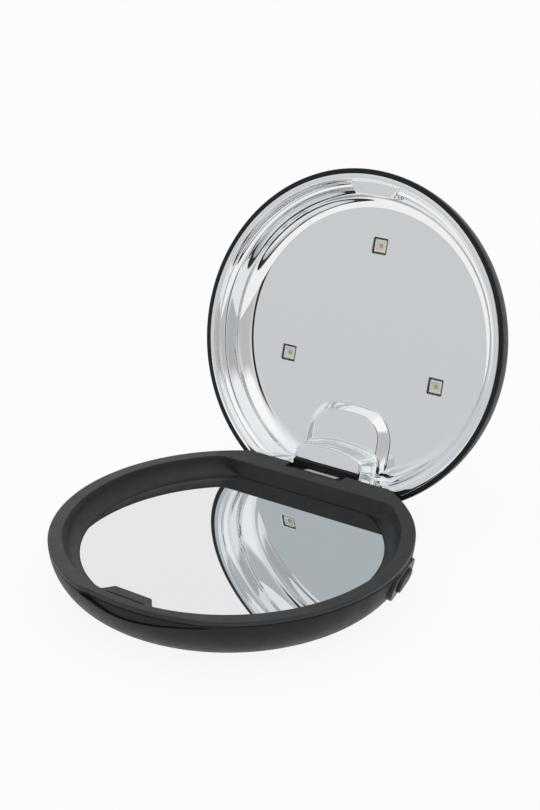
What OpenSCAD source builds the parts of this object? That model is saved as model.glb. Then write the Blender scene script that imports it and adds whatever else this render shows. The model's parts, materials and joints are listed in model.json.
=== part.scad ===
// Round clamshell UV-C case for dental aligners, lid open on its rear hinge.
// Origin: centre of the foot ring on the table. X along the hinge, +Y to the hinge, +Z up.
// Lid parts are drawn closed and turned open about the hinge pin.

/* [Case] */
// Outside diameter of the case
case_d = 94; // [90:1:104]
// Height of the parting line above the table
base_h = 14.2; // [13.8:0.1:16]
// Height of the lid above its own lip
lid_h = 18; // [17.8:0.1:20]
// Thickness of the outer moulded walls
wall = 1.6; // [1.2:0.1:1.8]
// Depth of the flat cut across the round plan at the hinge
flat_inset = 5.8; // [5.2:0.1:6.6]
// Inward run of the curved underside
belly = 12; // [10:0.5:13]
// Gap between the two lips when the case is closed
part_gap = 0.2; // [0.15:0.05:0.4]

/* [Tray] */
// Width of the flat rim around the tray
rim_w = 3.7; // [3.4:0.1:4.2]
// Height of the rim band above the seam
band_h = 1.2; // [1:0.1:1.5]
// Depth of the mirror below the rim
tray_depth = 5; // [4.6:0.1:5.2]
// Width of the curved wall between rim and mirror
cove_w = 4; // [3:0.1:4.6]
// Thickness of the bar between tray and rear flat
rear_bar = 7.7; // [7.2:0.1:9]
// Radius of the two rear corners of the tray
corner_r = 5; // [3:0.5:8]
// Thickness of the mirror plate
mirror_t = 1; // [0.8:0.1:1.2]
// Thickness of the tray floor under the mirror
floor_t = 1.2; // [1:0.1:1.4]

/* [Latch] */
// Width of the latch tab at its inner edge
tab_w = 11; // [10.4:0.2:14]
// Width of the latch tab at its root
tab_root_w = 15.2; // [14.4:0.2:18]
// Reach of the latch tab in from the rim
tab_reach = 3.4; // [3.2:0.1:3.8]
// Length of each latch magnet
magnet_l = 9; // [7:0.5:10]
// Height of each latch magnet
magnet_h = 3; // [2:0.1:3.4]
// Depth of the thumb scoop at its middle
scoop_depth = 1.6; // [1:0.1:1.8]
// Height of the thumb scoop below the rim
scoop_h = 4; // [3:0.1:5]

/* [Hinge] */
// Angle between the open lid and the closed one
open_angle = 105.9; // [95:0.1:106]
// Distance of the hinge pin in from the rear flat
hinge_inset = 1.13; // [1:0.01:1.3]
// Distance of the hinge pin below the parting line
hinge_drop = 3.36; // [3.3:0.01:3.8]
// Diameter of the hinge pin
pin_d = 1.2; // [1:0.1:1.4]
// Outside diameter of the hinge barrels
barrel_d = 3.3; // [3.1:0.1:3.4]
// Width of the lid's knuckle
knuckle_w = 17.8; // [14:0.1:18.4]
// Length of each barrel on the base
ear_w = 5.4; // [4:0.1:7]
// Depth of the notch that the knuckle turns in
notch_depth = 3.3; // [2.9:0.1:3.4]
// Width of the bright plate on the knuckle's arm
plate_w = 10.4; // [8:0.2:11]

/* [Power button] */
// Direction of the button, counted from +X towards the hinge
button_angle = 10.6; // [8:0.1:16]
// Depth of the button's centre below the rim
button_drop = 5.2; // [5:0.1:5.6]
// Downward tilt of the button's face
button_tilt = 14; // [10:0.5:16]
// Distance of the bezel's face from the case axis, in from the case's edge
bezel_inset = 0.6; // [0.4:0.1:1]
// Length of the oval bezel
bezel_l = 16.8; // [14:0.1:18]
// Height of the oval bezel
bezel_h = 6.2; // [5.8:0.1:6.6]
// Length of the button
button_l = 9.3; // [8:0.1:11]
// Height of the button
button_h = 3.8; // [3:0.1:4]
// How far the button stands out of its bezel
button_proud = 0.95; // [0.6:0.05:1.2]
// Travel of the button
button_travel = 0.35; // [0.2:0.05:0.5]
// Step around the button's raised face
button_step = 0.3; // [0.2:0.05:0.4]

/* [Reflector] */
// Width of the black lip around the chrome flange
lip_w = 1.2; // [1:0.1:1.4]
// Width of the chrome flange
flange_w = 1.8; // [1.4:0.1:2.2]
// Width of the curved wall between flange and reflector floor
bowl_cove_w = 7.6; // [7.2:0.1:9]
// Depth of the reflector floor behind the lip
reflector_depth = 10.8; // [10:0.1:11]
// Depth of the crease between rim slope and bowl
crease_depth = 3.2; // [2.6:0.1:4]
// Thickness of the reflector moulding
reflector_t = 0.8; // [0.6:0.1:0.9]
// Side of the square window around each emitter
window_w = 4.6; // [4.2:0.1:5.2]

/* [Emitters] */
// Distance of the front emitter in from the edge of the reflector floor
front_led_in = 9.9; // [8.4:0.1:12]
// Distance of the two rear emitters in from the edge of the reflector floor
side_led_in = 10.8; // [10:0.1:14]
// Direction of the two rear emitters, counted from the X axis towards the hinge
side_led_angle = 19.8; // [14:0.1:22]
// Side of the square emitter package
led_w = 3.5; // [3:0.1:3.9]
// Height of the emitter package
led_h = 0.9; // [0.7:0.1:1.1]

/* [Charging port] */
// Direction of the port, counted from +X towards the hinge
port_angle = 60; // [54:1:64]
// Width of the metal receptacle
port_w = 8.9; // [8.6:0.1:9.2]
// Height of the metal receptacle
port_h = 3.2; // [3:0.1:3.3]

/* [Feet and screws] */
// Outside radius of the rubber foot ring
foot_r = 33; // [31:0.5:34]
// Width of the rubber foot ring
foot_w = 5; // [4.6:0.2:6]
// How far the foot ring lifts the shell off the table
foot_out = 0.6; // [0.4:0.1:0.8]
// Diameter of the case screws' shanks
screw_d = 1.6; // [1.4:0.1:2]
// Diameter of the case screws' heads
screw_head_d = 3.6; // [3.2:0.1:4]

/* [Hidden] */
$fn = 96;

// Clearances
fit = 0.1;          // between pieces that drop into each other
pin_fit = 0.05;     // around the pin in the turning knuckle
ear_fit = 0.02;     // around the pin in the fixed barrels
turn_gap = 0.2;     // beside and around the turning knuckle
button_gap = 0.15;  // around the moving button
thread_fit = 0.02;  // around screws in their pilot holes
eps = 0.01;
far = 200;          // past everything

// Case
case_r = case_d / 2;
rim_z = base_h;
lid_z = rim_z + part_gap;
rear_y = case_r - flat_inset;
seam_z = rim_z - band_h;
seam_chamfer = 0.25;
straight = 0.2;     // upright part of the outside below the rim
shell_drop = base_h - foot_out - straight;
inside_z = foot_out + wall;
dome_power = 2.1;   // flatness of the lid's top
dome_round = 0.24;  // tightness of the lid's shoulder
dome_steps = 26;

// Tray
rim_r = case_r - rim_w;
mirror_r = rim_r - cove_w;
chord_y = rear_y - rear_bar;
tray_wall = 1.1;
mirror_z = rim_z - tray_depth;
tray_under = mirror_z - mirror_t - floor_t;
skirt_h = 1.4;
skirt_r = case_r - wall - 0.4;   // clear of the shell, which curves in below
rim_groove = 0.4;

// Latch
tab_y = rim_r - tab_reach;
tab_root_y = rim_r - 0.7;
tab_end_y = rim_r + 0.8;
magnet_t = 2.4;
magnet_y = tab_y + 1 + magnet_t / 2;
tab_skin = 0.8;
pad_depth = 2.2;    // face of the lid's tab behind the lip
pad_end = 8.6;
scoop_half = 32;    // half of the angle that the scoop takes

// Hinge
hinge_y = rear_y - hinge_inset;
hinge_z = rim_z - hinge_drop;
barrel_r = barrel_d / 2;
ear_x = knuckle_w / 2 + turn_gap;
pin_l = 2 * (ear_x + ear_w) - 0.6;
hinge_block_w = 2 * (ear_x + ear_w) + 3;
hinge_block_h = 5.6;
relief_gap = 0.35;  // under the turning knuckle
stop_gap = 0.06;    // under its arm when open
plate_t = 0.3;      // bright plate in the arm
plate_sunk = 0.05;  // of the plate below the arm's face
arm_y = rear_y - notch_depth + turn_gap;   // inner face of the knuckle's arm
plate_low_z = hinge_z + 1;

// Power button, along its own outward direction
button_z = rim_z - button_drop;
bezel_face = case_r - bezel_inset;
bezel_t = 1.2;
seat_t = 0.9;
flange_face = bezel_face - bezel_t - seat_t - button_gap;
button_flange_t = 0.7;
button_flange_l = button_l + 2.4;
button_flange_up = button_h / 2 + 0.2;   // flange above the button's middle
leg_w = 4;
leg_drop = 4.7;
button_room = button_flange_t + button_travel + 0.1;

// Reflector and lid
cavity_lid_y = rear_y - 2.6;   // inner face of the lid's rear wall
reflector_back_y = cavity_lid_y - fit;
flange_r = case_r - lip_w - fit;
bowl_r = case_r - lip_w - flange_w;
floor_r = bowl_r - bowl_cove_w;
crease_r = bowl_r - 2;
flange_z = lid_z + fit;
flange_t = 1;
hood_half = 11;
hood_arc = 34;
hood_depth = 0.75;
pad_h = 3;          // height of the black pad beside the hood
knuckle_pad_y = rear_y - 5.1;
hood_y = knuckle_pad_y - 5.5;
boss_front_y = hood_y - 11.8;
boss_half = 13.5;
boss_h = 2.1;
floor_z = lid_z + reflector_depth;
floor_back_z = floor_z + reflector_t;

// Emitters and their board
led_recess = 1.5;
led_top = floor_z + led_recess;
board_z = led_top + led_h;
board_t = 0.8;
led_board_r = floor_r - 6.6;
led_board_rear = boss_front_y + 5.2;
side_led_r = floor_r - side_led_in;
side_led_x = side_led_r * cos(side_led_angle);
side_led_y = side_led_r * sin(side_led_angle);
led_spots = [[0, front_led_in - floor_r], [-side_led_x, side_led_y], [side_led_x, side_led_y]];
post_r = 15;
post_angles = [90, 215, 325];
small_screw_r = 0.55;

// Screws and foot
screw_r = foot_r - foot_w / 2;
screw_angles = [45, 135, 225, 315];
screw_boss_r = 3.4;
foot_seat = 0.6;
screw_join_z = inside_z + 2;
screw_head_h = 1.2;
screw_head_z = foot_out + foot_seat + 0.2;

// Electronics in the base
pcb_t = 0.8;
pcb_z = tray_under - pcb_t;
pcb_out = case_r - 6.4;
pcb_in = screw_r - screw_boss_r - 4.1;
pcb_mid = (pcb_in + pcb_out) / 2;
chips = [   // direction, distance out of the board's middle line, size
    [20, -2.8, [4, 4, 0.9]], [31, 3.2, [3.9, 4.9, 1.4]],
    [66, -4.8, [4, 4, 2]], [2, -1.8, [3, 3, 1.1]]
];
pcb_from = -6;
pcb_to = 74;
port_z = pcb_z - port_h / 2;
port_face = case_r - 5.6;
port_len = 7.3;
port_pocket_w = port_w + 2.6;
port_pocket_h = port_h + 1.9;
port_wall = 0.3;
battery_size = [34, 26, 4];
battery_at = [-10, 0];
switch_size = [4.5, 1.5, 1.5];
switch_plunger = 0.6;
switch_face = case_r - 5.5;

// ---------- shared forms ----------

// Everything in front of the plane y
module ahead_of(y) { translate([-far, y - 2 * far, -far]) cube(2 * far); }

// Everything between two heights
module between(z0, z1) { translate([-far, -far, z0]) cube([2 * far, 2 * far, z1 - z0]); }

// Oval slot outline, l long and h high
module oval(l, h) {
    for (s = [-1, 1]) translate([s * (l - h) / 2, 0]) circle(d = h);
    square([l - h, h], center = true);
}

// Bar along X with round section
module rod_x(r, x0, x1, y, z) { translate([x0, y, z]) rotate([0, 90, 0]) cylinder(r = r, h = x1 - x0); }

// Disc outline cut by a chord at y, with both corners rounded
module d_outline(r, y, f) {
    corner_x = sqrt(pow(r - f, 2) - pow(y - f, 2));
    k = r / (r - f);
    difference() {
        intersection() {
            circle(r = r);
            translate([-far, y - 2 * far]) square(2 * far);
        }
        for (s = [-1, 1]) scale([s, 1]) polygon([
            [corner_x, y - f], [corner_x, y + f],
            [r + f, y + f], [corner_x * k, (y - f) * k]
        ]);
    }
    for (s = [-1, 1]) translate([s * corner_x, y - f]) circle(r = f);
}

// Outside of the base as a solid bowl, inset by t
module base_form(t) {
    drop = shell_drop - t;
    r = case_r - t;
    rotate_extrude() polygon(concat(
        [[0, rim_z], [r, rim_z]],
        [for (a = [0:5:90]) [r - belly * (1 - cos(a)), rim_z - straight - drop * sin(a)]],
        [[0, rim_z - straight - drop]]
    ));
}

// Outside of the lid as a solid dome, inset by t
function dome_at(d, r, h) = r * pow(max(0, 1 - pow(d / h, dome_power)), dome_round);
module lid_form(t) {
    h = lid_h - t;
    r = case_r - t;
    rotate_extrude() polygon(concat(
        [[0, lid_z]],
        [for (i = [0:dome_steps - 1]) let (d = h * sin(90 * i / dome_steps)) [dome_at(d, r, h), lid_z + d]],
        [[0, lid_z + h]]
    ));
}

// Turns a closed lid part to where it stands open
module opened() {
    translate([0, hinge_y, hinge_z]) rotate([-open_angle, 0, 0]) translate([0, -hinge_y, -hinge_z]) children();
}

// Places a part at the button: its own +Z points out of the case, its own X runs along the case.
// out is counted from the case axis, as bezel_face is.
module at_button(out) {
    rotate([0, 0, button_angle]) translate([bezel_face, 0, button_z]) rotate([0, button_tilt, 0])
        translate([out - bezel_face, 0, 0]) rotate([90, 0, 90]) children();
}

// Places a part at the charging port, with the same directions as at_button
module at_port(out) {
    rotate([0, 0, port_angle]) translate([out, 0, port_z]) rotate([90, 0, 90]) children();
}

// Crescent that lets a thumb under the lid
module scoop_cut() {
    edge = case_r - scoop_depth;
    c = (case_r * case_r - edge * edge) / (2 * (edge - case_r * cos(scoop_half)));
    r = edge + c;
    translate([0, c, rim_z - scoop_h]) difference() {
        cylinder(r = 2 * case_r, h = scoop_h + 1);
        translate([0, 0, -eps]) cylinder(r1 = r + scoop_depth * 0.7, r2 = r, h = scoop_h + 1 + 2 * eps);
    }
}

// Room for the lid's knuckle from closed to open
module notch_cut() {
    half = knuckle_w / 2 + turn_gap;
    back = rear_y - notch_depth;
    translate([-half, back, hinge_z]) cube([2 * half, far, far]);
    rod_x(barrel_r + relief_gap, -half, half, hinge_y, hinge_z);
    opened() translate([-half, hinge_y, hinge_z]) cube([2 * half, hinge_inset + stop_gap, far]);
}

// Tab outline that both halves share: inner edge, then sloped flanks to the root
module tab_outline(grow) {
    polygon([
        [-tab_w / 2 - grow, -tab_y + grow], [tab_w / 2 + grow, -tab_y + grow],
        [tab_root_w / 2 + grow, -tab_root_y], [tab_root_w / 2 + grow, -tab_end_y],
        [-tab_root_w / 2 - grow, -tab_end_y], [-tab_root_w / 2 - grow, -tab_root_y]
    ]);
}

module magnet(z, grow) {
    translate([-magnet_l / 2 - grow, -magnet_y - magnet_t / 2 - grow, z])
        cube([magnet_l + 2 * grow, magnet_t + 2 * grow, magnet_h]);
}

// ---------- base ----------

module base_shell() color("#2b2b2d") difference() {
    union() {
        difference() {
            intersection() {
                base_form(0);
                ahead_of(rear_y);
            }
            intersection() {
                base_form(wall);
                ahead_of(rear_y - wall);
            }
        }
        // hinge block, with a barrel at each end
        intersection() {
            translate([-hinge_block_w / 2, rear_y - notch_depth - wall, seam_z - hinge_block_h])
                cube([hinge_block_w, notch_depth + wall, hinge_block_h]);
            base_form(0);
        }
        rod_x(barrel_r, -ear_x - ear_w, ear_x + ear_w, hinge_y, hinge_z);
        // seat behind the button bezel
        intersection() {
            at_button(flange_face + button_gap) linear_extrude(bezel_t + seat_t)
                oval(bezel_l + 2, bezel_h + 0.2);
            base_form(0);
            between(0, seam_z);
        }
        // bosses for the case screws
        for (a = screw_angles) rotate([0, 0, a]) translate([screw_r, 0, foot_out])
            cylinder(r = screw_boss_r, h = screw_join_z - foot_out);
    }
    between(seam_z, rim_z + 1);
    notch_cut();
    scoop_cut();
    rod_x(pin_d / 2 + ear_fit, -pin_l / 2 - fit, pin_l / 2 + fit, hinge_y, hinge_z);
    // chamfer that opens the seam under the band
    translate([0, 0, seam_z - seam_chamfer]) difference() {
        cylinder(r = case_r + 1, h = seam_chamfer + eps);
        cylinder(r1 = case_r, r2 = case_r - seam_chamfer, h = seam_chamfer + eps);
    }
    // pocket for the bezel, hole for the button, room for its flange, its leg and the switch
    at_button(bezel_face - bezel_t) linear_extrude(far) oval(bezel_l + 2 * ear_fit, bezel_h + 2 * ear_fit);
    button_hole();
    at_button(flange_face + button_gap - 6) linear_extrude(6) button_flange(button_gap + 0.1);
    rotate([0, 0, button_angle]) translate([0, -switch_size.x / 2 - fit, pcb_z - switch_size.z - fit])
        cube([switch_face + 1, switch_size.x + 2 * fit, far]);
    // charging port: flat pocket outside, tunnel for the receptacle
    at_port(port_face) linear_extrude(far) oval(port_pocket_w, port_pocket_h);
    at_port(port_face - port_len - 1) linear_extrude(far) oval(port_w + 2 * fit, port_h + 2 * fit);
    // groove for the foot ring, and the screw holes in it
    difference() {
        translate([0, 0, -eps]) cylinder(r = foot_r + ear_fit, h = foot_out + foot_seat + eps);
        translate([0, 0, -1]) cylinder(r = foot_r - foot_w - ear_fit, h = foot_out + foot_seat + 2);
    }
    for (a = screw_angles) rotate([0, 0, a]) translate([screw_r, 0, 0]) {
        cylinder(d = screw_head_d + 0.4, h = screw_head_z + screw_head_h);
        cylinder(d = screw_d + 0.3, h = screw_join_z + 1);
    }
}

module tray_pocket() {
    intersection() {
        rotate_extrude() polygon(concat(
            [[0, rim_z + 1], [rim_r, rim_z + 1]],
            [for (a = [90:-6:0]) [mirror_r + cove_w * sin(a), rim_z - tray_depth * cos(a)]],
            [[mirror_r, mirror_z - mirror_t], [0, mirror_z - mirror_t]]
        ));
        translate([0, 0, mirror_z - mirror_t - eps]) linear_extrude(far) d_outline(rim_r, chord_y, corner_r);
    }
}

module base_tray() color("#2f2f31") difference() {
    union() {
        // rim band on top of the shell
        intersection() {
            base_form(0);
            between(seam_z, rim_z);
            ahead_of(rear_y);
        }
        // bowl under it
        intersection() {
            rotate_extrude() polygon(concat(
                [[0, seam_z], [skirt_r, seam_z], [skirt_r, seam_z - skirt_h]],
                [for (a = [60:-6:0]) [
                    mirror_r + tray_wall + cove_w * sin(a),
                    rim_z - (tray_depth + mirror_t + floor_t) * cos(a)
                ]],
                [[0, tray_under]]
            ));
            ahead_of(chord_y + tray_wall);
        }
        // posts that take the case screws
        for (a = screw_angles) rotate([0, 0, a]) translate([screw_r, 0, screw_join_z])
            cylinder(r = 2.4, h = tray_under - screw_join_z + eps);
    }
    difference() {
        tray_pocket();
        translate([0, 0, tray_under]) linear_extrude(rim_z - tray_under) tab_outline(0);
    }
    notch_cut();
    scoop_cut();
    // magnet pocket, open below, and the groove over it
    translate([0, 0, -magnet_h]) magnet(rim_z - tab_skin, fit);
    translate([0, 0, tray_under - rim_z]) magnet(rim_z - tab_skin - magnet_h, fit);
    translate([-5.8, -rim_r + 0.1, rim_z - 0.3]) cube([11.6, rim_groove, 1]);
    // room for the button's flange
    at_button(flange_face - button_room) linear_extrude(button_room + 2) button_flange(button_gap);
    for (a = screw_angles) rotate([0, 0, a]) translate([screw_r, 0, screw_join_z - eps])
        cylinder(d = screw_d + 2 * thread_fit, h = tray_under - screw_join_z + 0.4);
}

module base_mirror() color("#d8dde0") intersection() {
    translate([0, 0, mirror_z - mirror_t]) cylinder(r = mirror_r - fit, h = mirror_t);
    ahead_of(chord_y - fit);
}

module foot_ring() color("#202020") difference() {
    cylinder(r = foot_r, h = foot_out + foot_seat);
    translate([0, 0, -1]) cylinder(r = foot_r - foot_w, h = foot_out + foot_seat + 2);
}

module base_screws() color("#8b8d90") for (a = screw_angles) rotate([0, 0, a])
    translate([screw_r, 0, screw_head_z]) difference() {
        union() {
            cylinder(d = screw_head_d, h = screw_head_h);
            cylinder(d = screw_d, h = tray_under - screw_head_z);
        }
        for (t = [0, 90]) rotate([0, 0, t]) translate([-1, -0.25, -eps]) cube([2, 0.5, 0.6]);
    }

module hinge_pin() color("#b8bbbe") rod_x(pin_d / 2, -pin_l / 2, pin_l / 2, hinge_y, hinge_z);

// ---------- power button ----------

// Hole that the button slides in
module button_hole() {
    at_button(flange_face) linear_extrude(far) oval(button_l + 2 * button_gap, button_h + 2 * button_gap);
}

// Outline of the flange that keeps the button in, with the leg that reaches the switch
module button_flange(grow) {
    translate([-button_flange_l / 2 - grow, -button_h / 2 - grow])
        square([button_flange_l + 2 * grow, button_h / 2 + button_flange_up + 2 * grow]);
    translate([-leg_w / 2 - grow, -leg_drop - grow]) square([leg_w + 2 * grow, leg_drop]);
}

module button_bezel() color("#262628") difference() {
    at_button(bezel_face - bezel_t) linear_extrude(bezel_t) oval(bezel_l, bezel_h);
    button_hole();
}

module power_button() color("#323234") {
    at_button(flange_face - eps) linear_extrude(bezel_face + button_proud - flange_face - button_step)
        oval(button_l, button_h);
    at_button(bezel_face + button_proud - button_step - eps) linear_extrude(button_step + eps)
        oval(button_l - 2 * button_step, button_h - 2 * button_step);
    at_button(flange_face - button_flange_t) linear_extrude(button_flange_t) button_flange(0);
}

module button_switch() color("#cfd2d4") rotate([0, 0, button_angle]) {
    translate([switch_face - switch_size.y, -switch_size.x / 2, pcb_z - switch_size.z])
        cube([switch_size.y, switch_size.x, switch_size.z]);
    translate([switch_face - eps, 0, pcb_z - switch_size.z / 2]) rotate([0, 90, 0])
        cylinder(r = 0.5, h = switch_plunger + eps);
}

// ---------- electronics in the base ----------

module control_board() color("#1f5a3a") difference() {
    translate([0, 0, pcb_z]) rotate([0, 0, pcb_from])
        rotate_extrude(angle = pcb_to - pcb_from) translate([pcb_in, 0]) square([pcb_out - pcb_in, pcb_t]);
    for (a = screw_angles) rotate([0, 0, a]) translate([screw_r, 0, 0]) cylinder(r = screw_boss_r, h = far);
}

// Chip on the underside of the board, at angle a, out mm from the board's middle line
module chip(a, out, size) {
    rotate([0, 0, a]) translate([pcb_mid + out, 0, pcb_z - size.z / 2]) cube(size, center = true);
}

module board_chips() color("#18181a") {
    for (c = chips) chip(c[0], c[1], c[2]);
}

module battery() color("#9aa3ad") translate([battery_at.x, battery_at.y, inside_z]) {
    d = battery_size.z;
    translate([0, 0, d / 2]) cube([battery_size.x - d, battery_size.y, d], center = true);
    for (s = [-1, 1]) translate([s * (battery_size.x - d) / 2, battery_size.y / 2, d / 2])
        rotate([90, 0, 0]) cylinder(d = d, h = battery_size.y);
}

module port_shell() color("#b4b7ba") at_port(port_face - port_len) difference() {
    linear_extrude(port_len) oval(port_w, port_h);
    translate([0, 0, 1]) linear_extrude(port_len) oval(port_w - 2 * port_wall, port_h - 2 * port_wall);
}

module port_tongue() color("#161618") at_port(port_face - port_len + 1)
    translate([0, 0, (port_len - 2) / 2]) cube([port_w - 2.2, 0.7, port_len - 2], center = true);

module base_magnet() color("#9b9b9b") magnet(rim_z - tab_skin - magnet_h, 0);

// ---------- lid, drawn closed ----------

// Bright plate let into the inner face of the knuckle's arm
module arm_plate() color("#dfe2e5") opened() translate([-plate_w / 2, arm_y + plate_sunk, plate_low_z])
    cube([plate_w, plate_t, lid_z - plate_low_z]);

module lid_shell() color("#2b2b2d") opened() difference() {
    union() {
        difference() {
            intersection() {
                lid_form(0);
                ahead_of(rear_y);
            }
            intersection() {
                lid_form(wall);
                ahead_of(cavity_lid_y);
            }
        }
        // knuckle, its arm down to the pin, and the pad beside the hood
        rod_x(barrel_r, -knuckle_w / 2, knuckle_w / 2, hinge_y, hinge_z);
        translate([-knuckle_w / 2, arm_y, hinge_z]) cube([knuckle_w, rear_y - arm_y, lid_z - hinge_z + 1]);
        translate([-hood_half, knuckle_pad_y, lid_z]) cube([2 * hood_half, rear_y - knuckle_pad_y, pad_h]);
    }
    // rebate for the reflector's flange
    intersection() {
        translate([0, 0, lid_z - eps]) cylinder(r = case_r - lip_w, h = fit + flange_t + eps);
        difference() {
            ahead_of(cavity_lid_y);
            translate([-hood_half, knuckle_pad_y, 0]) cube([2 * hood_half, far, far]);
        }
    }
    // recess for the plate on the arm
    translate([-plate_w / 2 - ear_fit, arm_y - eps, plate_low_z - ear_fit])
        cube([plate_w + 2 * ear_fit, plate_sunk + plate_t + eps, lid_z - plate_low_z + ear_fit]);
    rod_x(pin_d / 2 + pin_fit, -knuckle_w, knuckle_w, hinge_y, hinge_z);
}

// Outline of the hood over the hinge, with an arched front
module hood_outline(inset) {
    intersection() {
        translate([-hood_half + inset, hood_y + inset]) square([2 * (hood_half - inset), far]);
        translate([0, hood_y + hood_arc + inset]) circle(r = hood_arc);
        for (r = 2 - inset) union() {
            translate([-hood_half + inset, hood_y + inset + 1.4 + r]) square([2 * (hood_half - inset), far]);
            translate([-hood_half + inset + r, hood_y]) square([2 * (hood_half - inset - r), far]);
            for (s = [-1, 1]) translate([s * (hood_half - inset - r), hood_y + inset + 1.4 + r]) circle(r = r);
        }
    }
}

// Rounded outline of the boss between hood and floor
module boss_outline(half, front, r) {
    for (s = [-1, 1]) translate([s * (half - r), front + r]) circle(r = r, $fn = 32);
    translate([-half, front + r]) square([2 * half, reflector_back_y - front - r]);
    translate([-half + r, front]) square([2 * (half - r), 2 * r]);
}

// Boss as a pillow, inset from its outside by t
module boss_form(t) {
    slices = 5;
    hull() for (i = [0:slices]) let (a = 90 * i / slices) {
        translate([0, 0, floor_z - (boss_h - t) * sin(a)]) linear_extrude(eps)
            boss_outline(boss_half - t - 3.2 * (1 - cos(a)), boss_front_y + t + 2.5 * (1 - cos(a)), 5);
    }
}

// Inside of the chrome bowl, or its outside when grown by t
module bowl_form(t) {
    bowl_h = reflector_depth - crease_depth;
    rotate_extrude() polygon(concat(
        [[0, lid_z - 1], [bowl_r + t, lid_z - 1], [bowl_r + t, flange_z]],
        [for (a = [15:15:90]) [
            crease_r + t + (bowl_r - crease_r) * cos(a), flange_z + (crease_depth - fit) * sin(a)
        ]],
        [for (a = [84:-6:0]) [
            floor_r + t + (crease_r - floor_r) * sin(a), lid_z + crease_depth + (bowl_h + t) * cos(a)
        ]],
        [[0, floor_z + t]]
    ));
}

module reflector() color("#c9ced2") opened() difference() {
    union() {
        // flange, bowl and rear wall
        intersection() {
            union() {
                bowl_form(reflector_t);
                translate([0, 0, flange_z]) cylinder(r = flange_r, h = flange_t);
            }
            between(flange_z, far);
            ahead_of(reflector_back_y);
        }
        // posts that take the emitter board's screws
        for (a = post_angles) rotate([0, 0, a]) translate([post_r, 0, floor_back_z - eps])
            cylinder(r = 2, h = board_z - floor_back_z + eps);
    }
    difference() {
        intersection() {
            bowl_form(0);
            ahead_of(reflector_back_y - reflector_t);
        }
        translate([0, 0, lid_z + hood_depth]) linear_extrude(far) hood_outline(0);
        boss_form(0);
        translate([0, 0, lid_z + pad_depth]) linear_extrude(pad_end) tab_outline(0);
    }
    // hollow backs of the hood and the boss
    translate([0, 0, lid_z + hood_depth + reflector_t]) linear_extrude(far) intersection() {
        hood_outline(reflector_t);
        translate([-far, -far]) square([2 * far, far + knuckle_pad_y - 1.2]);
    }
    translate([0, 0, eps]) boss_form(reflector_t);
    translate([0, 0, floor_z]) linear_extrude(far)
        boss_outline(boss_half - reflector_t - 1, boss_front_y + reflector_t + 1, 5);
    // room for the lid's black knuckle pad
    translate([-hood_half - fit, knuckle_pad_y - fit, 0]) cube([2 * (hood_half + fit), far, lid_z + pad_h + fit]);
    // windows for the emitters
    for (p = led_spots) translate([p.x - window_w / 2, p.y - window_w / 2, lid_z]) cube([window_w, window_w, far]);
    // magnet pocket, open at the back, and the groove on the tab
    magnet(lid_z + pad_depth + tab_skin, fit);
    translate([0, -magnet_t - 1, 0]) magnet(lid_z + pad_depth + tab_skin, fit);
    translate([-4.5, -tab_y - 1.9, lid_z]) cube([9, 0.3, pad_depth + 0.3]);
    for (a = post_angles) rotate([0, 0, a]) translate([post_r, 0, floor_back_z + 0.1])
        cylinder(r = small_screw_r + thread_fit, h = far);
}

module led_board() color("#e9ecec") opened() difference() {
    intersection() {
        translate([0, 0, board_z]) cylinder(r = led_board_r, h = board_t);
        ahead_of(led_board_rear);
    }
    for (a = post_angles) rotate([0, 0, a]) translate([post_r, 0, 0])
        cylinder(r = small_screw_r + fit, h = far);
}

module led_package(p) color("#f2efe6") opened() translate([p.x, p.y, led_top]) difference() {
    translate([-led_w / 2, -led_w / 2, 0]) cube([led_w, led_w, led_h]);
    translate([-led_w * 0.38, -led_w * 0.38, -eps]) cube([led_w * 0.76, led_w * 0.76, led_h * 0.6]);
}
module led_front() led_package(led_spots[0]);
module led_left() led_package(led_spots[1]);
module led_right() led_package(led_spots[2]);

module led_dies() color("#c9a24a") opened() for (p = led_spots)
    translate([p.x - led_w * 0.16, p.y - led_w * 0.16, led_top + led_h * 0.6 - eps - 0.2])
        cube([led_w * 0.32, led_w * 0.32, 0.2]);

module led_windows() color("#e4e8ee", 0.4) opened() for (p = led_spots)
    translate([p.x - led_w * 0.37, p.y - led_w * 0.37, led_top]) cube([led_w * 0.74, led_w * 0.74, led_h * 0.25]);

module led_connector() color("#f0f0ec") opened() translate([-3, 6, board_z + board_t]) cube([6, 3.4, 1.2]);

module board_screws() color("#8b8d90") opened() for (a = post_angles) rotate([0, 0, a])
    translate([post_r, 0, floor_back_z + 0.3]) {
        cylinder(r = small_screw_r, h = board_z + board_t - floor_back_z);
        translate([0, 0, board_z + board_t - floor_back_z - 0.3]) cylinder(r = 1.2, h = 0.7);
    }

module lid_magnet() color("#9b9b9b") opened() magnet(lid_z + pad_depth + tab_skin, 0);

base_shell();
base_tray();
base_mirror();
foot_ring();
base_screws();
hinge_pin();
button_bezel();
power_button();
button_switch();
control_board();
board_chips();
battery();
port_shell();
port_tongue();
base_magnet();
lid_shell();
arm_plate();
reflector();
led_board();
led_front();
led_left();
led_right();
led_dies();
led_windows();
led_connector();
board_screws();
lid_magnet();
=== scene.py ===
import json
import math

import bmesh
import bpy
from mathutils import Matrix, Vector


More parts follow.
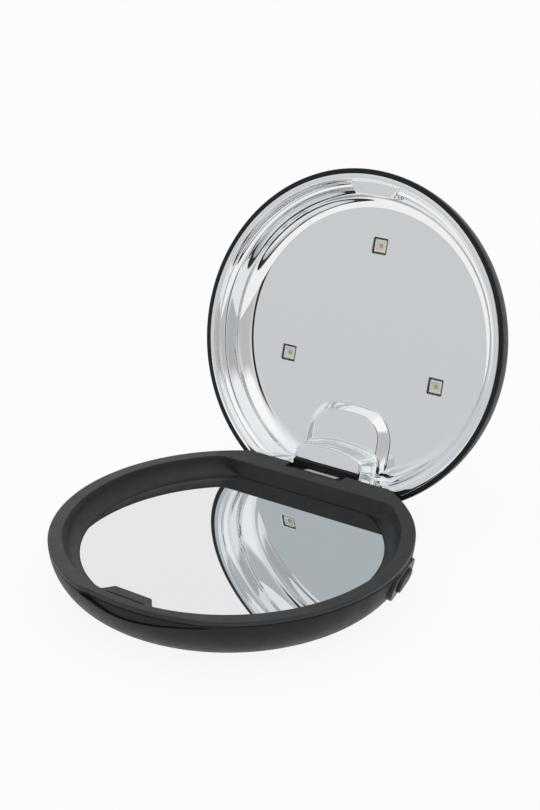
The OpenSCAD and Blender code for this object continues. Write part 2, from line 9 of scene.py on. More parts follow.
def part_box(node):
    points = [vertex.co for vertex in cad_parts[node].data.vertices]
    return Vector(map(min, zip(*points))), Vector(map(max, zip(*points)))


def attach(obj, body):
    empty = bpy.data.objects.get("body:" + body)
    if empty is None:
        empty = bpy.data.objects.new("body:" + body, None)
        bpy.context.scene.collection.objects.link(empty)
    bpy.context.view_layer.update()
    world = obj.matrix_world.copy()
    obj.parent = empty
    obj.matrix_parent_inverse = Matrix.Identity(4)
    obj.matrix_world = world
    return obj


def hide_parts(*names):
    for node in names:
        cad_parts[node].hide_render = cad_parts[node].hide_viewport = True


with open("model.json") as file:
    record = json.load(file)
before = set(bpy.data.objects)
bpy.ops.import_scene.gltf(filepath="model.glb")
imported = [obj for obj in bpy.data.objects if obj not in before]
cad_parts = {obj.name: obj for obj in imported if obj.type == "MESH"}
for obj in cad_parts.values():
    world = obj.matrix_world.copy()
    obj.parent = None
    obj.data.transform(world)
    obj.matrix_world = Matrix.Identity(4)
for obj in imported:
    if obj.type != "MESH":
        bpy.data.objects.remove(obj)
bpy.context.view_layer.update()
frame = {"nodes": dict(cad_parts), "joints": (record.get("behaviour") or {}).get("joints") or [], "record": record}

# Looks of the round UV-C aligner case. Lengths are in millimetres and become metres in piece().
# Lid pieces are drawn closed, as the case shuts, and turned open about the hinge pin.
MM = 0.001


# ---------- sizes ----------

def low(node):
    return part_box(node)[0] / MM


def high(node):
    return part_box(node)[1] / MM


HINGE = next(j for j in frame["joints"] if j["name"] == "lid_hinge")
HINGE_AT = Vector(HINGE["pos_m"]) / MM
OPEN_ANGLE = max(HINGE["range_deg"])

# case
CASE_R = high("base_tray").x
REAR_Y = high("base_tray").y
RIM_Z = high("base_tray").z
SEAM_Z = high("base_shell").z
BOTTOM_Z = low("base_shell").z
LID_GAP = 0.2           # between the rims of the shut case
LID_Z = RIM_Z + LID_GAP
LID_H = 18
WALL = 1.6
BELLY = 12              # how far the base's side curves in
STRAIGHT = 0.2          # upright band under the rim
EDGE = 0.3              # radius of the moulded edges
EDGE_STEPS = 5
CHAMFER = 0.25          # at the seam
SEAM_STEP = 0.2         # the tray's step above the seam
SEAM_GAP = 0.03
FOOT_IN, FOOT_OUT = 27.98, 33.02
FOOT_TOP = high("foot_ring").z

# tray
RIM_R = CASE_R - 3.7
MIRROR_Z = high("base_mirror").z
MIRROR_LOW_Z = low("base_mirror").z
MIRROR_FIT = 0.1
MIRROR_R = high("base_mirror").x + MIRROR_FIT
CHORD_Y = high("base_mirror").y + MIRROR_FIT
CORNER_R = 5
TRAY_LOW_Z = low("base_tray").z
SPIGOT_IN, SPIGOT_H = 2.0, 1.4      # the part of the tray that drops into the shell
UNDER_IN, UNDER_REAR = 8, 6.6       # the tray's underside, from the side and the rear

# latch
TAB_HALF = 5.5
TAB_ROOT_HALF = 7.6
TAB_Y = RIM_R - 3.4
TAB_ROOT_Y = RIM_R - 0.7
TAB_GROOVE = (5.8, 0.1, 0.45, 0.35)     # half length, near and far edge, depth
PAD_GROOVE = (4.5, 1.9, 1.6, 0.3)       # the same on the lid's latch pad
PAD_DEPTH = 2.2
PAD_EDGE = 0.35

# thumb scoop: its wall, then its lower edge by angle in degrees
SCOOP_DEPTH = 1.6
SCOOP_H = 4
SCOOP_HALF = math.radians(32)
SCOOP_MID, SCOOP_LEFT, SCOOP_RIGHT = 272, 20, 31
SCOOP_LOW_Z = 10.95
SCOOP_SHARP = 5         # how fast the scoop reaches its full depth
# rings from the seam down: (share of the dip, drop, depth), ending in a groove and its lower lip
SCOOP_FACE = (
    (0.25, 0.02, 0.08), (0.5, 0.04, 0.14), (0.8, 0.06, 0.2),
    (1, 0.08, 0.22), (1, 0.1, 0.75), (1, 0.3, 0.75),
)
SCOOP_LIP = ((1, 0.34, 0.04), (1, 0.42, 0))

# hinge
BARREL_R = 1.65
KNUCKLE_HALF = 8.9
TURN_GAP = 0.2
RELIEF_GAP = 0.35
NOTCH_HALF = KNUCKLE_HALF + TURN_GAP
NOTCH_Y = REAR_Y - 3.3
ARM_Y = NOTCH_Y + TURN_GAP
EAR_END = NOTCH_HALF + 5.4
BARREL_EDGE, KNUCKLE_EDGE = 0.25, 0.2
PLATE_SEAT = (5.25, 0.95, 0.35)     # half width, height above the pin and depth of the plate's seat

# reflector
LIP_W = 1.2
FLANGE_R = CASE_R - LIP_W - 0.1
FLANGE_Z = LID_Z + 0.1
BOWL_R = FLANGE_R - 1.7
CREASE_R = BOWL_R - 2
CREASE_DEPTH = 3.2
FLOOR_R = BOWL_R - 7.6
FLOOR_Z = LID_Z + 10.8
FLOOR_LEVEL = 1.5       # width of the floor's level rim
SHEET = 0.8
BOWL_EDGE = 0.35
CREASE_NOSE = 0.35
BACK_Y = REAR_Y - 2.7
REAR_CURVE = 4.2        # how far the rear wall curves in at the floor
REAR_CORNER = 4
BLOCK_Y = REAR_Y - 5.1  # front of the black block beside the hood
BLOCK_H = 3
BLOCK_ROOM = 0.1
HOOD_HALF = 11
BLOCK_HALF = HOOD_HALF - 0.5
HOOD_Y = BLOCK_Y - 5.5
HOOD_ARC = 34
HOOD_Z = LID_Z + 0.75
HOOD_CORNER = 2
HOOD_CORNER_Y = HOOD_Y + 3.4
HOOD_SWEEP = math.radians(80)
HOOD_EDGE, HOOD_FILLET = 0.9, 1.3
HOOD_SPREAD = 0.2       # growth of the hood's foot
BOSS_HALF = 13.5
BOSS_Y = HOOD_Y - 11.8
BOSS_H = 2.1
BOSS_ARCH = 1.8
BOSS_CORNER = 7.5
BOSS_SIDE_IN, BOSS_FRONT_IN = 3.4, 2.6
BOSS_ROLL = math.radians(56)

# emitters
LEDS = ("led_front", "led_left", "led_right")
WINDOW_HALF = 2.3
WINDOW_EDGE = 0.2
WINDOW_CORNER = 0.4
LED_HALF = 1.75
LED_Z = FLOOR_Z + 1.5
LED_H = 0.9
LED_TOP = FLOOR_Z + 0.3
# inside of a package: (half width, corner radius, height behind its top)
LED_STEPS = (
    (LED_HALF, 0.15, 0.08), (LED_HALF - 0.08, 0.15, 0), (1.36, 0.12, 0),
    (1.33, 0.12, 0.24), (1.1, 0.2, 0.26), (0.95, 0.2, 0.54),
)
DIE_HALF, DIE_CORNER = 0.56, 0.04
DIE_LOW, DIE_TOP = 0.53, 0.36
STRIPE_HALF, STRIPE_LENGTH, STRIPE_H = 0.04, 0.45, 0.03
STRIPES = (-0.28, 0, 0.28)
PANE_HALF, PANE_CORNER = 1.3, 0.1
PANE_STEPS = ((0.03, 0.01), (0, 0.04), (0, 0.22))   # (inset, height behind the top)

# past every part, for tools that cut to one side
FAR_X, FAR_Y = 60, 80
WELD = 1e-4             # mm
CAD_WELD = 1e-6         # m


# ---------- materials ----------

def new_material(name, base, roughness, metallic=0.0, **sockets):
    """A material whose constant values sit on the shader's own sockets."""
    mat = bpy.data.materials.new(name)
    mat.use_nodes = True
    shader = mat.node_tree.nodes["Principled BSDF"]
    shader.inputs["Base Color"].default_value = (*base, 1)
    shader.inputs["Roughness"].default_value = roughness
    shader.inputs["Metallic"].default_value = metallic
    for key, value in sockets.items():
        shader.inputs[key.replace("_", " ")].default_value = value
    return mat


def noise(mat, scale, detail=3.0):
    """Noise in the object's own coordinates, scale in waves a metre."""
    nodes, links = mat.node_tree.nodes, mat.node_tree.links
    place = nodes.new("ShaderNodeTexCoord")
    tex = nodes.new("ShaderNodeTexNoise")
    tex.inputs["Scale"].default_value = scale
    tex.inputs["Detail"].default_value = detail
    links.new(place.outputs["Object"], tex.inputs["Vector"])
    return tex.outputs["Fac"]


NOISE_LOW, NOISE_HIGH = 0.3, 0.7     # the span that most of the noise lies in


def vary(mat, socket, source, low_value, high_value):
    """Drives a shader socket from low_value to high_value by a noise."""
    nodes, links = mat.node_tree.nodes, mat.node_tree.links
    shader = nodes["Principled BSDF"]
    if isinstance(low_value, tuple):
        ramp = nodes.new("ShaderNodeValToRGB")
        first, last = ramp.color_ramp.elements
        first.position, first.color = NOISE_LOW, (*low_value, 1)
        last.position, last.color = NOISE_HIGH, (*high_value, 1)
        links.new(source, ramp.inputs["Fac"])
        links.new(ramp.outputs["Color"], shader.inputs[socket])
        return
    span = nodes.new("ShaderNodeMapRange")
    span.inputs["From Min"].default_value = NOISE_LOW
    span.inputs["From Max"].default_value = NOISE_HIGH
    span.inputs["To Min"].default_value = low_value
    span.inputs["To Max"].default_value = high_value
    links.new(source, span.inputs["Value"])
    links.new(span.outputs["Result"], shader.inputs[socket])


def bump(mat, source, height, strength=1.0):
    """Relief of the given height in millimetres, added to any relief before it."""
    nodes, links = mat.node_tree.nodes, mat.node_tree.links
    shader = nodes["Principled BSDF"]
    node = nodes.new("ShaderNodeBump")
    node.inputs["Strength"].default_value = strength
    node.inputs["Distance"].default_value = height * MM
    links.new(source, node.inputs["Height"])
    if shader.inputs["Normal"].is_linked:
        links.new(shader.inputs["Normal"].links[0].from_socket, node.inputs["Normal"])
    links.new(node.outputs["Normal"], shader.inputs["Normal"])


def moulded(name, dark, light, roughness, grain=0.012, gloss=0.45):
    """Matte moulded plastic: spark-eroded grain, faint colour and gloss changes."""
    mat = new_material(name, light, roughness, Specular_IOR_Level=gloss)
    vary(mat, "Base Color", noise(mat, 140, 4), dark, light)
    vary(mat, "Roughness", noise(mat, 260, 2), roughness - 0.05, roughness + 0.05)
    bump(mat, noise(mat, 5200, 2), grain, 0.5)
    return mat


def metal(name, base, roughness, waviness=0.0, wave_scale=60):
    """Bare or plated metal with slightly uneven gloss."""
    mat = new_material(name, base, roughness, 1.0)
    vary(mat, "Roughness", noise(mat, 420, 2), roughness * 0.8, roughness * 1.2)
    if waviness:
        bump(mat, noise(mat, wave_scale, 1), waviness, 1.0)
    return mat


MATERIALS = {
    "black_shell": moulded("black_shell", (0.009, 0.009, 0.0095), (0.0115, 0.0115, 0.012), 0.46,
                           gloss=0.26),
    "black_tray": moulded("black_tray", (0.012, 0.012, 0.013), (0.017, 0.017, 0.0185), 0.46,
                          gloss=0.5),
    "mirror_plate": metal("mirror_plate", (0.84, 0.85, 0.86), 0.012),
    "foot_rubber": moulded("foot_rubber", (0.008, 0.008, 0.008), (0.013, 0.013, 0.013), 0.8, 0.03),
    "steel": metal("steel", (0.5, 0.5, 0.52), 0.28, 0.01),
    "black_bezel": moulded("black_bezel", (0.007, 0.007, 0.0075), (0.010, 0.010, 0.0105), 0.38),
    "black_button": moulded("black_button", (0.011, 0.011, 0.012), (0.015, 0.015, 0.016), 0.5),
    "switch_metal": metal("switch_metal", (0.6, 0.6, 0.62), 0.3),
    "circuit_board": moulded("circuit_board", (0.010, 0.075, 0.030), (0.018, 0.12, 0.05), 0.35),
    "chip_black": moulded("chip_black", (0.014, 0.014, 0.015), (0.022, 0.022, 0.023), 0.5),
    "battery_foil": metal("battery_foil", (0.42, 0.45, 0.48), 0.35, 0.06, 90),
    "port_metal": metal("port_metal", (0.55, 0.56, 0.57), 0.22),
    "magnet_plating": metal("magnet_plating", (0.6, 0.6, 0.6), 0.22),
    # near-white colour of the hinge arm's plate: a painted highlight along the knuckle
    "bright_plate": moulded("bright_plate", (0.80, 0.81, 0.83), (0.87, 0.88, 0.90), 0.32, 0.006),
    "chrome_reflector": metal("chrome_reflector", (0.87, 0.885, 0.895), 0.03, 0.004),
    "white_board": moulded("white_board", (0.74, 0.74, 0.72), (0.80, 0.80, 0.79), 0.35),
    "led_ceramic": moulded("led_ceramic", (0.90, 0.87, 0.76), (0.94, 0.93, 0.88), 0.35, 0.004),
    "die_gold": metal("die_gold", (0.62, 0.43, 0.17), 0.35, 0.01),
    "quartz": new_material("quartz", (0.95, 0.97, 0.98), 0.02, IOR=1.46, Alpha=0.08),
    "white_nylon": moulded("white_nylon", (0.78, 0.78, 0.74), (0.84, 0.84, 0.80), 0.45),
}
bump(MATERIALS["quartz"], noise(MATERIALS["quartz"], 300, 1), 0.002)


# ---------- mesh helpers ----------

def skin(rings, loop=False):
    """Closed skin over rings of points with equal counts, with flat ends or as a loop."""
    bm = bmesh.new()
    rows = [[bm.verts.new(p) for p in points] for points in rings]
    pairs = list(zip(rows, rows[1:]))
    if loop:
        pairs.append((rows[-1], rows[0]))
    count = len(rows[0])
    for a, b in pairs:
        for i in range(count):
            j = (i + 1) % count
            bm.faces.new((a[i], a[j], b[j], b[i]))
    if not loop:
        bm.faces.new(rows[0][::-1])
        bm.faces.new(rows[-1])
    bmesh.ops.recalc_face_normals(bm, faces=bm.faces)
    return bm


def moved(bm, matrix):
    bm.transform(matrix)
    return bm


def joined(*parts):
    """Several meshes as one, left overlapping where they meet."""
    whole = bmesh.new()
    for part in parts:
        mesh = bpy.data.meshes.new("part")
        part.to_mesh(mesh)
        part.free()
        whole.from_mesh(mesh)
        bpy.data.meshes.remove(mesh)
    return whole


def to_object(bm, name="tool"):
    mesh = bpy.data.meshes.new(name)
    bm.to_mesh(mesh)
    bm.free()
    obj = bpy.data.objects.new(name, mesh)
    bpy.context.scene.collection.objects.link(obj)
    return obj


def baked(obj):
    """The object's mesh with its modifiers applied; the object itself is removed."""
    bpy.context.view_layer.update()
    shape = obj.evaluated_get(bpy.context.evaluated_depsgraph_get())
    mesh = bpy.data.meshes.new_from_object(shape)
    bpy.data.objects.remove(obj)
    return mesh


def carved(bm, *tools):
    """bm with each tool cut out of it."""
    obj = to_object(bm, "carved")
    cutters = [to_object(tool) for tool in tools]
    for cutter in cutters:
        mod = obj.modifiers.new("cut", "BOOLEAN")
        mod.operation = "DIFFERENCE"
        mod.solver = "EXACT"
        mod.object = cutter
    mesh = baked(obj)
    for cutter in cutters:
        bpy.data.objects.remove(cutter)
    out = bmesh.new()
    out.from_mesh(mesh)
    bpy.data.meshes.remove(mesh)
    bmesh.ops.remove_doubles(out, verts=out.verts, dist=WELD)
    return out


def softened(block, radius, segments):
    """Rounds all the edges of a block."""
    bmesh.ops.bevel(block, geom=block.edges[:], offset=radius, segments=segments, profile=0.5,
                    affect="EDGES")


def shaded(mesh, angle):
    """Smooth shading that stays sharp past an angle, with large flat faces kept flat."""
    mesh.shade_smooth()
    mesh.set_sharp_from_angle(angle=math.radians(angle))
    obj = bpy.data.objects.new("shaded", mesh)
    bpy.context.scene.collection.objects.link(obj)
    mod = obj.modifiers.new("normals", "WEIGHTED_NORMAL")
    mod.keep_sharp = True
    return baked(obj)


OPENED = (
    Matrix.Translation(HINGE_AT)
    @ Matrix.Rotation(math.radians(-OPEN_ANGLE), 4, "X")
    @ Matrix.Translation(-HINGE_AT)
)


def finished(name, mesh, body, slot, nodes, angle):
    """Gives a mesh in metres its shading and material; it rides on a body and stands for nodes."""
    mesh = shaded(mesh, angle)
    mesh.name = name
    mesh.materials.clear()
    mesh.materials.append(MATERIALS[slot])
    obj = bpy.data.objects.new(name, mesh)
    bpy.context.scene.collection.objects.link(obj)
    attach(obj, body)
    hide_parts(*nodes)


def piece(name, bm, body, slot, nodes, angle=35, opened=False):
    """A finished piece from a mesh in millimetres, turned open where it is drawn closed."""
    if opened:
        bm.transform(OPENED)
    bm.transform(Matrix.Scale(MM, 4))
    mesh = bpy.data.meshes.new(name)
    bm.to_mesh(mesh)
    bm.free()
    finished(name, mesh, body, slot, nodes, angle)


def box_mesh(low_corner, high_corner):
    (x0, y0, z0), (x1, y1, z1) = low_corner, high_corner
    outline = [(x0, y0), (x1, y0), (x1, y1), (x0, y1)]
    return skin([[(x, y, z) for x, y in outline] for z in (z0, z1)])


def rod_x(radius, x0, x1, y, z, edge=0.0, steps=48):
    """Round bar along X with its ends rounded by edge."""
    turn = [2 * math.pi * i / steps for i in range(steps)]
    rings = []
    for x, r in ((x0, radius - edge), (x0 + edge, radius), (x1 - edge, radius), (x1, radius - edge)):
        rings.append([(x, y + r * math.cos(a), z + r * math.sin(a)) for a in turn])
    return skin(rings)


def quarter(steps):
    """Angles from 0 to 90 degrees."""
    return [math.pi / 2 * i / steps for i in range(steps + 1)]


# ---------- round outlines ----------

TURN_STEPS = 720
TURN = [2 * math.pi * i / TURN_STEPS for i in range(TURN_STEPS)]


def ray_to_circle(a, cx, cy, r):
    """Far distance along direction a to a circle."""
    along = cx * math.cos(a) + cy * math.sin(a)
    return along + math.sqrt(max(0.0, along * along - cx * cx - cy * cy + r * r))


def ray_to_flat(a, y):
    """Distance along direction a to the line at y, on the hinge side."""
    return y / math.sin(a) if math.sin(a) > 0.05 else math.inf


def ring(radius, z):
    """Points at radius(a) or at a constant radius, all at height z."""
    reach = radius if callable(radius) else lambda a: radius
    return [Vector((reach(a) * math.cos(a), reach(a) * math.sin(a), z)) for a in TURN]


def grown(points, by):
    """An outline moved out along its own normals."""
    count = len(points)
    out = []
    for i, p in enumerate(points):
        t = points[(i + 1) % count] - points[i - 1]
        n = Vector((t.y, -t.x, 0)).normalized()
        out.append(p + n * by)
    return out


def lifted(points, z):
    return [Vector((p.x, p.y, z)) for p in points]


def lathe(profile):
    return skin([ring(r, z) for r, z in profile])


def mirrored(points):
    """The other half of an outline, from its middle back to its start."""
    return [Vector((-p.x, p.y, p.z)) for p in reversed(points)]


def base_r(z, inset=0.0):
    """Radius of the base's outside at height z."""
    drop = RIM_Z - BOTTOM_Z - STRAIGHT - inset
    s = min(1.0, max(0.0, (RIM_Z - STRAIGHT - z) / drop))
    return CASE_R - inset - BELLY * (1 - math.sqrt(1 - s * s))


def scoop_r(a, z):
    """Distance from the case axis to the thumb scoop's wall."""
    edge = CASE_R - SCOOP_DEPTH
    c = (CASE_R**2 - edge**2) / (2 * (edge - CASE_R * math.cos(SCOOP_HALF)))
    depth = 1 - (z - RIM_Z + SCOOP_H) / (SCOOP_H + 1)
    return ray_to_circle(a, 0, c, edge + c + SCOOP_DEPTH * 0.7 * depth)


def smile(a):
    """1 at the lowest point of the scoop's lower edge, 0 past both its ends."""
    lean = math.degrees(a) - SCOOP_MID
    reach = SCOOP_LEFT if lean < 0 else SCOOP_RIGHT
    return math.cos(math.pi / 2 * min(1.0, abs(lean) / reach)) ** 2


def outside_r(a, z, scoop=True):
    """Distance from the case axis to the outside of the base."""
    r = min(base_r(z), ray_to_flat(a, REAR_Y))
    if scoop and math.sin(a) < 0:
        r -= max(0.0, r - scoop_r(a, z)) * min(1.0, SCOOP_SHARP * smile(a))
    return r


def outside(z, scoop=True):
    """Outline of the base at height z."""
    return ring(lambda a: outside_r(a, z, scoop), z)


def scoop_ring(share, below, depth, scoop=True):
    """Ring that dips with the scoop's lower edge, by share of the dip, and sunk by depth there."""
    top = SEAM_Z - CHAMFER
    points = []
    for a in TURN:
        s = smile(a)
        z = top - below - (top - SCOOP_LOW_Z) * s * share
        r = outside_r(a, z, scoop) - depth * min(1.0, SCOOP_SHARP * s)
        points.append(Vector((r * math.cos(a), r * math.sin(a), z)))
    return points


def d_reach(a, r, chord, f):
    """Distance to a disc cut by a chord, with both corners rounded by f."""
    y = chord - f
    x = math.sqrt((r - f) ** 2 - y * y)
    side = x if math.cos(a) >= 0 else -x
    from_chord = math.atan2(chord, side)
    from_round = math.atan2(y, side)
    first, last = sorted((from_chord, from_round))
    turn = a if a <= math.pi else a - 2 * math.pi
    if first <= turn <= last:
        return ray_to_circle(a, side, y, f)
    return min(r, ray_to_flat(a, chord))


def tab_reach(a):
    """Distance to the latch tab's inner edge and flanks."""
    lean = abs(a - 1.5 * math.pi)
    inner = math.atan2(TAB_HALF, TAB_Y)
    root = math.atan2(TAB_ROOT_HALF, TAB_ROOT_Y)
    if lean <= inner:
        return TAB_Y / math.cos(lean)
    if lean <= root:
        share = (lean - inner) / (root - inner)
        near = math.hypot(TAB_HALF, TAB_Y)
        far = math.hypot(TAB_ROOT_HALF, TAB_ROOT_Y)
        return near * (1 - share) + far * share
    return math.inf


def pocket(r, z):
    """Outline of the tray's pocket where its wall is r from the axis."""
    return ring(lambda a: min(d_reach(a, r, CHORD_Y, CORNER_R), tab_reach(a)), z)


# ---------- base ----------

def notch_tools():
    """Room for the lid's knuckle, cut from the tray and the shell."""
    slot_box = box_mesh((-NOTCH_HALF, NOTCH_Y, HINGE_AT.z), (NOTCH_HALF, REAR_Y + 5, RIM_Z + 5))
    relief = rod_x(BARREL_R + RELIEF_GAP, -NOTCH_HALF, NOTCH_HALF, HINGE_AT.y, HINGE_AT.z)
    # room for the knuckle's arm when the lid is open
    arm_low = (-NOTCH_HALF, HINGE_AT.y, HINGE_AT.z)
    arm_room = box_mesh(arm_low, (NOTCH_HALF, REAR_Y + 0.06, RIM_Z + 20))
    return slot_box, relief, moved(arm_room, OPENED)


def rim_edge(outline, way, a):
    """The rim's outline on its rounded edge, where way says to which side the edge turns."""
    return lifted(grown(outline, way * EDGE * (1 - math.cos(a))), RIM_Z - EDGE + EDGE * math.sin(a))


def make_tray():
    rim_in = pocket(RIM_R, RIM_Z)
    rim_out = outside(RIM_Z)
    rings = [pocket(MIRROR_R, MIRROR_LOW_Z)]
    for a in quarter(14)[:-1]:
        z = RIM_Z - (RIM_Z - MIRROR_Z) * math.cos(a)
        rings.append(pocket(MIRROR_R + (RIM_R - MIRROR_R) * math.sin(a), z))
    for a in quarter(EDGE_STEPS):
        rings.append(rim_edge(rim_in, 1, a))
    for a in reversed(quarter(EDGE_STEPS)):
        rings.append(rim_edge(rim_out, -1, a))
    rings.append(outside(SEAM_Z + SEAM_STEP))
    rings.append(lifted(grown(outside(SEAM_Z), -SEAM_STEP), SEAM_Z + SEAM_GAP))
    under = (
        (SPIGOT_IN, SPIGOT_IN, SEAM_Z),
        (SPIGOT_IN, SPIGOT_IN, SEAM_Z - SPIGOT_H),
        (UNDER_IN, UNDER_REAR, TRAY_LOW_Z),
    )
    for side, rear, z in under:
        rings.append(ring(lambda a: min(CASE_R - side, ray_to_flat(a, REAR_Y - rear)), z))
    half, near, far, deep = TAB_GROOVE
    groove = box_mesh((-half, -RIM_R + near, RIM_Z - deep), (half, -RIM_R + far, RIM_Z + 1))
    tray = carved(skin(rings), groove, *notch_tools())
    piece("tray_moulding", tray, "base", "black_tray", ["base_tray"])


def make_mirror():
    rings = []
    for inset, z in ((MIRROR_FIT, MIRROR_LOW_Z), (MIRROR_FIT, MIRROR_Z - 0.1), (0.2, MIRROR_Z)):
        rings.append(ring(lambda a: d_reach(a, MIRROR_R - inset, CHORD_Y - inset, CORNER_R), z))
    piece("mirror_disc", skin(rings), "base", "mirror_plate", ["base_mirror"], 20)


BUTTON_ANGLE = math.radians(10.6)
BUTTON_TILT = math.radians(14)
BUTTON_Z = RIM_Z - 5.2
BUTTON_L, BUTTON_H = 9.3, 3.8
BUTTON_PROUD = 0.95
BUTTON_GAP = 0.3
KEY_DEPTH, KEY_EDGE, KEY_CROWN = 2.2, 0.35, 0.12
FLANGE_MORE, FLANGE_T, FLANGE_EDGE, FLANGE_IN = 2.2, 0.7, 0.1, 3
BEZEL_L, BEZEL_H, BEZEL_T = 16.8, 6.2, 1.2
BEZEL_FACE = CASE_R - 0.6
BEZEL_EDGE, BEZEL_FLARE, BEZEL_FIT = 0.3, 0.15, 0.04
PORT_MOUNT = next(m for m in frame["record"]["mounts"] if m["name"] == "charging_port")
PORT_AT = Vector(PORT_MOUNT["pos_m"]) / MM
PORT_FACE = math.hypot(PORT_AT.x, PORT_AT.y)
PORT_ANGLE = math.radians(60)
PORT_POCKET, PORT_HOLE = (11.5, 5.1), (9.1, 3.4)
TOOL_REACH = 9


def at_button(out):
    """Places a part at the button: its +Z points out of the case, its X runs along it."""
    return (
        Matrix.Rotation(BUTTON_ANGLE, 4, "Z")
        @ Matrix.Translation((BEZEL_FACE, 0, BUTTON_Z))
        @ Matrix.Rotation(BUTTON_TILT, 4, "Y")
        @ Matrix.Translation((out - BEZEL_FACE, 0, 0))
        @ Matrix.Rotation(math.pi / 2, 4, "Z")
        @ Matrix.Rotation(math.pi / 2, 4, "X")
    )


def at_port(out, z):
    """Places a part at the charging port, as at_button does."""
    return (
        Matrix.Rotation(PORT_ANGLE, 4, "Z")
        @ Matrix.Translation((out, 0, z))
        @ Matrix.Rotation(math.pi / 2, 4, "Z")
        @ Matrix.Rotation(math.pi / 2, 4, "X")
    )


def oval(length, height, z, steps=28):
    """Slot outline with round ends."""
    r = height / 2
    half = (length - height) / 2
    ends = []
    for side, start in ((1, -math.pi / 2), (-1, math.pi / 2)):
        for i in range(steps + 1):
            a = start + math.pi * i / steps
            ends.append(Vector((side * half + r * math.cos(a), r * math.sin(a), z)))
    return ends


def slot_tool(size, place):
    """Cutter with an oval section, from a place outwards."""
    length, height = size
    return moved(skin([oval(length, height, z) for z in (0, TOOL_REACH)]), place)


SHELL_HEIGHTS = (2.2, 2.5, 3.2, 4.5, 6, 8, 10, 12, SEAM_Z)     # of the rings inside the wall
BELLY_STEPS = 32


def shell_rings():
    """Rings of the shell: up its inside, over the seam, down the scoop and the side, to the foot."""
    inner = [(base_r(z, WALL), z) for z in SHELL_HEIGHTS]
    rings = [ring(lambda a: min(r, ray_to_flat(a, REAR_Y - WALL)), z) for r, z in inner]
    rings.append(lifted(grown(outside(SEAM_Z), -CHAMFER), SEAM_Z))
    rings.append(outside(SEAM_Z - CHAMFER))
    for share, below, depth in SCOOP_FACE:
        rings.append(scoop_ring(share, below, depth))
    for share, below, depth in SCOOP_LIP:
        rings.append(scoop_ring(share, below, depth, False))
    # from the dipping edge to a level ring
    scoop_z = RIM_Z - SCOOP_H
    low_ring = rings[-1]
    for t in (0.33, 0.67):
        dip = []
        for a, p in zip(TURN, low_ring):
            z = p.z + (scoop_z - p.z) * t
            r = outside_r(a, z, False)
            dip.append(Vector((r * math.cos(a), r * math.sin(a), z)))
        rings.append(dip)
    rings.append(outside(scoop_z, scoop=False))
    drop = RIM_Z - BOTTOM_Z - STRAIGHT
    first = math.asin((RIM_Z - STRAIGHT - scoop_z) / drop)
    for i in range(1, BELLY_STEPS + 1):
        a = first + (math.pi / 2 - first) * i / BELLY_STEPS
        rings.append(outside(RIM_Z - STRAIGHT - drop * math.sin(a), scoop=False))
    # groove of the foot ring
    for r, z in ((FOOT_OUT, BOTTOM_Z), (FOOT_OUT, FOOT_TOP), (FOOT_IN, FOOT_TOP), (FOOT_IN, BOTTOM_Z)):
        rings.append(ring(r, z))
    return rings


def make_shell():
    bezel_seat = slot_tool((BEZEL_L + BEZEL_FIT, BEZEL_H + BEZEL_FIT), at_button(BEZEL_FACE - BEZEL_T))
    key_hole = slot_tool((BUTTON_L + BUTTON_GAP, BUTTON_H + BUTTON_GAP), at_button(BEZEL_FACE - 4))
    port_pocket = slot_tool(PORT_POCKET, at_port(PORT_FACE, PORT_AT.z))
    port_hole = slot_tool(PORT_HOLE, at_port(PORT_FACE - 8, PORT_AT.z))
    tools = (bezel_seat, key_hole, port_pocket, port_hole)
    shell = carved(skin(shell_rings()), *tools, *notch_tools())
    ears = []
    for side in (-1, 1):
        ends = sorted((side * NOTCH_HALF, side * EAR_END))
        ears.append(rod_x(BARREL_R, *ends, HINGE_AT.y, HINGE_AT.z, BARREL_EDGE))
    piece("shell_moulding", joined(shell, *ears), "base", "black_shell", ["base_shell"])


def rounded_oval(length, height, z0, z1, edge, crown=0.0, steps=5):
    """Oval block whose top edge is rounded and whose face may be slightly crowned."""
    rings = [oval(length, height, z0)]
    for a in quarter(steps):
        inset = edge * (1 - math.cos(a))
        z = z1 - crown - edge + edge * math.sin(a)
        rings.append(oval(length - 2 * inset, height - 2 * inset, z))
    if crown:
        inner = height - 2 * edge
        for share in (0.75, 0.5, 0.25):
            rings.append(oval(length - height + inner * share, inner * share, z1 - crown * share * share))
    return skin(rings)


def make_button():
    outer = [oval(BEZEL_L, BEZEL_H, 0)]
    for a in quarter(EDGE_STEPS):
        inset = BEZEL_EDGE * (1 - math.cos(a))
        z = BEZEL_T - BEZEL_EDGE + BEZEL_EDGE * math.sin(a)
        outer.append(oval(BEZEL_L - 2 * inset, BEZEL_H - 2 * inset, z))
    hole_l, hole_h = BUTTON_L + BUTTON_GAP, BUTTON_H + BUTTON_GAP
    for a in reversed(quarter(3)):
        flare = BEZEL_FLARE * (1 - math.cos(a))
        z = BEZEL_T - BEZEL_FLARE + BEZEL_FLARE * math.sin(a)
        outer.append(oval(hole_l + 2 * flare, hole_h + 2 * flare, z))
    outer.append(oval(hole_l, hole_h, 0))
    bezel = moved(skin(outer, loop=True), at_button(BEZEL_FACE - BEZEL_T))
    piece("bezel_ring", bezel, "base", "black_bezel", ["button_bezel"])
    face = rounded_oval(BUTTON_L, BUTTON_H, 0, KEY_DEPTH + BUTTON_PROUD, KEY_EDGE, KEY_CROWN)
    key = moved(face, at_button(BEZEL_FACE - KEY_DEPTH))
    flange = rounded_oval(BUTTON_L + FLANGE_MORE, BUTTON_H + BUTTON_GAP, 0, FLANGE_T, FLANGE_EDGE)
    flange = moved(flange, at_button(BEZEL_FACE - FLANGE_IN))
    piece("button_key", joined(key, flange), "button", "black_button", ["power_button"])


# ---------- lid, drawn closed ----------

DOME_STEPS = 72
SEAT_H = 1.1            # upright seat of the reflector's flange


def dome_r(d, inset=0.0):
    """Radius of the lid at height d above its lip."""
    return (CASE_R - inset) * max(0.0, 1 - (d / (LID_H - inset)) ** 2.1) ** 0.24


